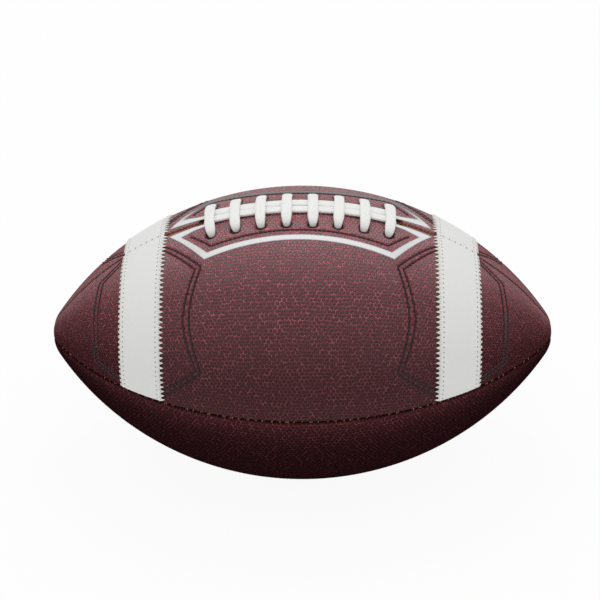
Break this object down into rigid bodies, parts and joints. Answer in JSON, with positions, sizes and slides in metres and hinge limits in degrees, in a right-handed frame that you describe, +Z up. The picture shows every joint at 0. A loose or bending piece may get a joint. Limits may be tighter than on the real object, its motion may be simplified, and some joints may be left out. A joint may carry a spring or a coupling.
{
  "type": "american football",
  "caption": "Prolate inflatable ball of sewn pebbled panels with turned-in seams, flat cross-bar lacing, pale sewn-on stripes, lining, bladder and a needle valve.",
  "frame": {"origin": "Middle of the ball's long axis, half way between the tips: the centre of the hand or cradle that closes round the belly.", "axes": "+X runs along the ball through its tips, +Z points up out of the middle of the lacing, -Y faces the viewer of the picture."},
  "size_m": [0.2858, 0.168, 0.1722],
  "materials": {
    "cover": "pebbled composite leather, dark satin pebbles on maroon",
    "stripe": "white composite leather, fine grain, matte",
    "lining": "laminated cotton canvas",
    "backing": "woven backing cloth",
    "facing": "plain split leather strip with lace holes",
    "tongue": "soft split leather",
    "lace": "white coated lace, matte",
    "bladder": "black butyl rubber",
    "valve": "black rubber"
  },
  "bodies": {
    "root": {"panel_front_upper": "cover", "panel_back_upper": "cover", "panel_front_lower": "cover", "panel_back_lower": "cover", "lining_front_upper": "lining", "lining_back_upper": "lining", "lining_front_lower": "lining", "lining_back_lower": "lining", "stripe_front_left": "stripe", "stripe_front_right": "stripe", "stripe_back_left": "stripe", "stripe_back_right": "stripe", "backing_front_left": "backing", "backing_front_right": "backing", "backing_back_left": "backing", "backing_back_right": "backing", "facing_front": "facing", "facing_back": "facing", "lace_tongue": "tongue", "lace": "lace", "bladder": "bladder", "valve_seat": "valve", "valve_plug": "valve"}
  },
  "joints": []
}
